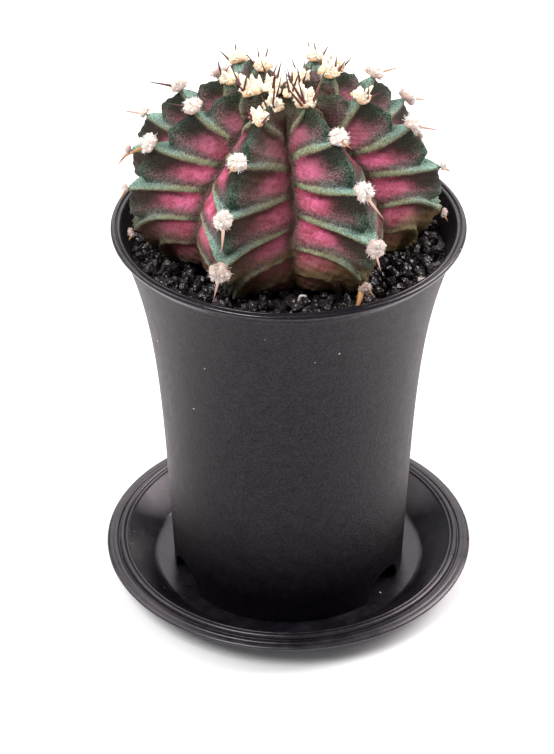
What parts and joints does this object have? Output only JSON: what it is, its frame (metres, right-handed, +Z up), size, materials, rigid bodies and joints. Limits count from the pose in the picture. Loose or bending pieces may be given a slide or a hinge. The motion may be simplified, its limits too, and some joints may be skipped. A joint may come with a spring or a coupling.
{
  "type": "potted chin cactus",
  "caption": "Ribbed, banded globe cactus with woolly spine pads, in a slim flared round pot with black gravel, standing on a shallow saucer.",
  "frame": {"origin": "centre of the saucer's underside, where the part stands on a table", "axes": "+Z up along the pot's axis; -Y to the front; +X to the right seen from the front"},
  "size_m": [0.0984, 0.0984, 0.1556],
  "materials": {
    "pot_plastic": "satin",
    "saucer_plastic": "satin",
    "stem_skin": "satin",
    "areole_wool": "matte",
    "black_gravel": "satin",
    "potting_mix": "matte"
  },
  "bodies": {
    "root": {"saucer": "saucer_plastic", "pot": "pot_plastic", "potting_mix": "potting_mix", "gravel_dressing": "black_gravel", "stem": "stem_skin", "areole_1_1": "areole_wool", "areole_1_2": "areole_wool", "areole_1_3": "areole_wool", "areole_1_4": "areole_wool", "areole_1_5": "areole_wool", "areole_2_1": "areole_wool", "areole_2_2": "areole_wool", "areole_2_3": "areole_wool", "areole_2_4": "areole_wool", "areole_2_5": "areole_wool", "areole_3_1": "areole_wool", "areole_3_2": "areole_wool", "areole_3_3": "areole_wool", "areole_3_4": "areole_wool", "areole_4_1": "areole_wool", "areole_4_2": "areole_wool", "areole_4_3": "areole_wool", "areole_4_4": "areole_wool", "areole_4_5": "areole_wool", "areole_5_1": "areole_wool", "areole_5_2": "areole_wool", "areole_5_3": "areole_wool", "areole_5_4": "areole_wool", "areole_5_5": "areole_wool", "areole_6_1": "areole_wool", "areole_6_2": "areole_wool", "areole_6_3": "areole_wool", "areole_6_4": "areole_wool", "areole_6_5": "areole_wool", "areole_7_1": "areole_wool", "areole_7_2": "areole_wool", "areole_7_3": "areole_wool", "areole_7_4": "areole_wool", "areole_7_5": "areole_wool", "areole_7_6": "areole_wool", "areole_8_1": "areole_wool", "areole_8_2": "areole_wool", "areole_8_3": "areole_wool", "areole_8_4": "areole_wool", "areole_8_5": "areole_wool"}
  },
  "joints": []
}
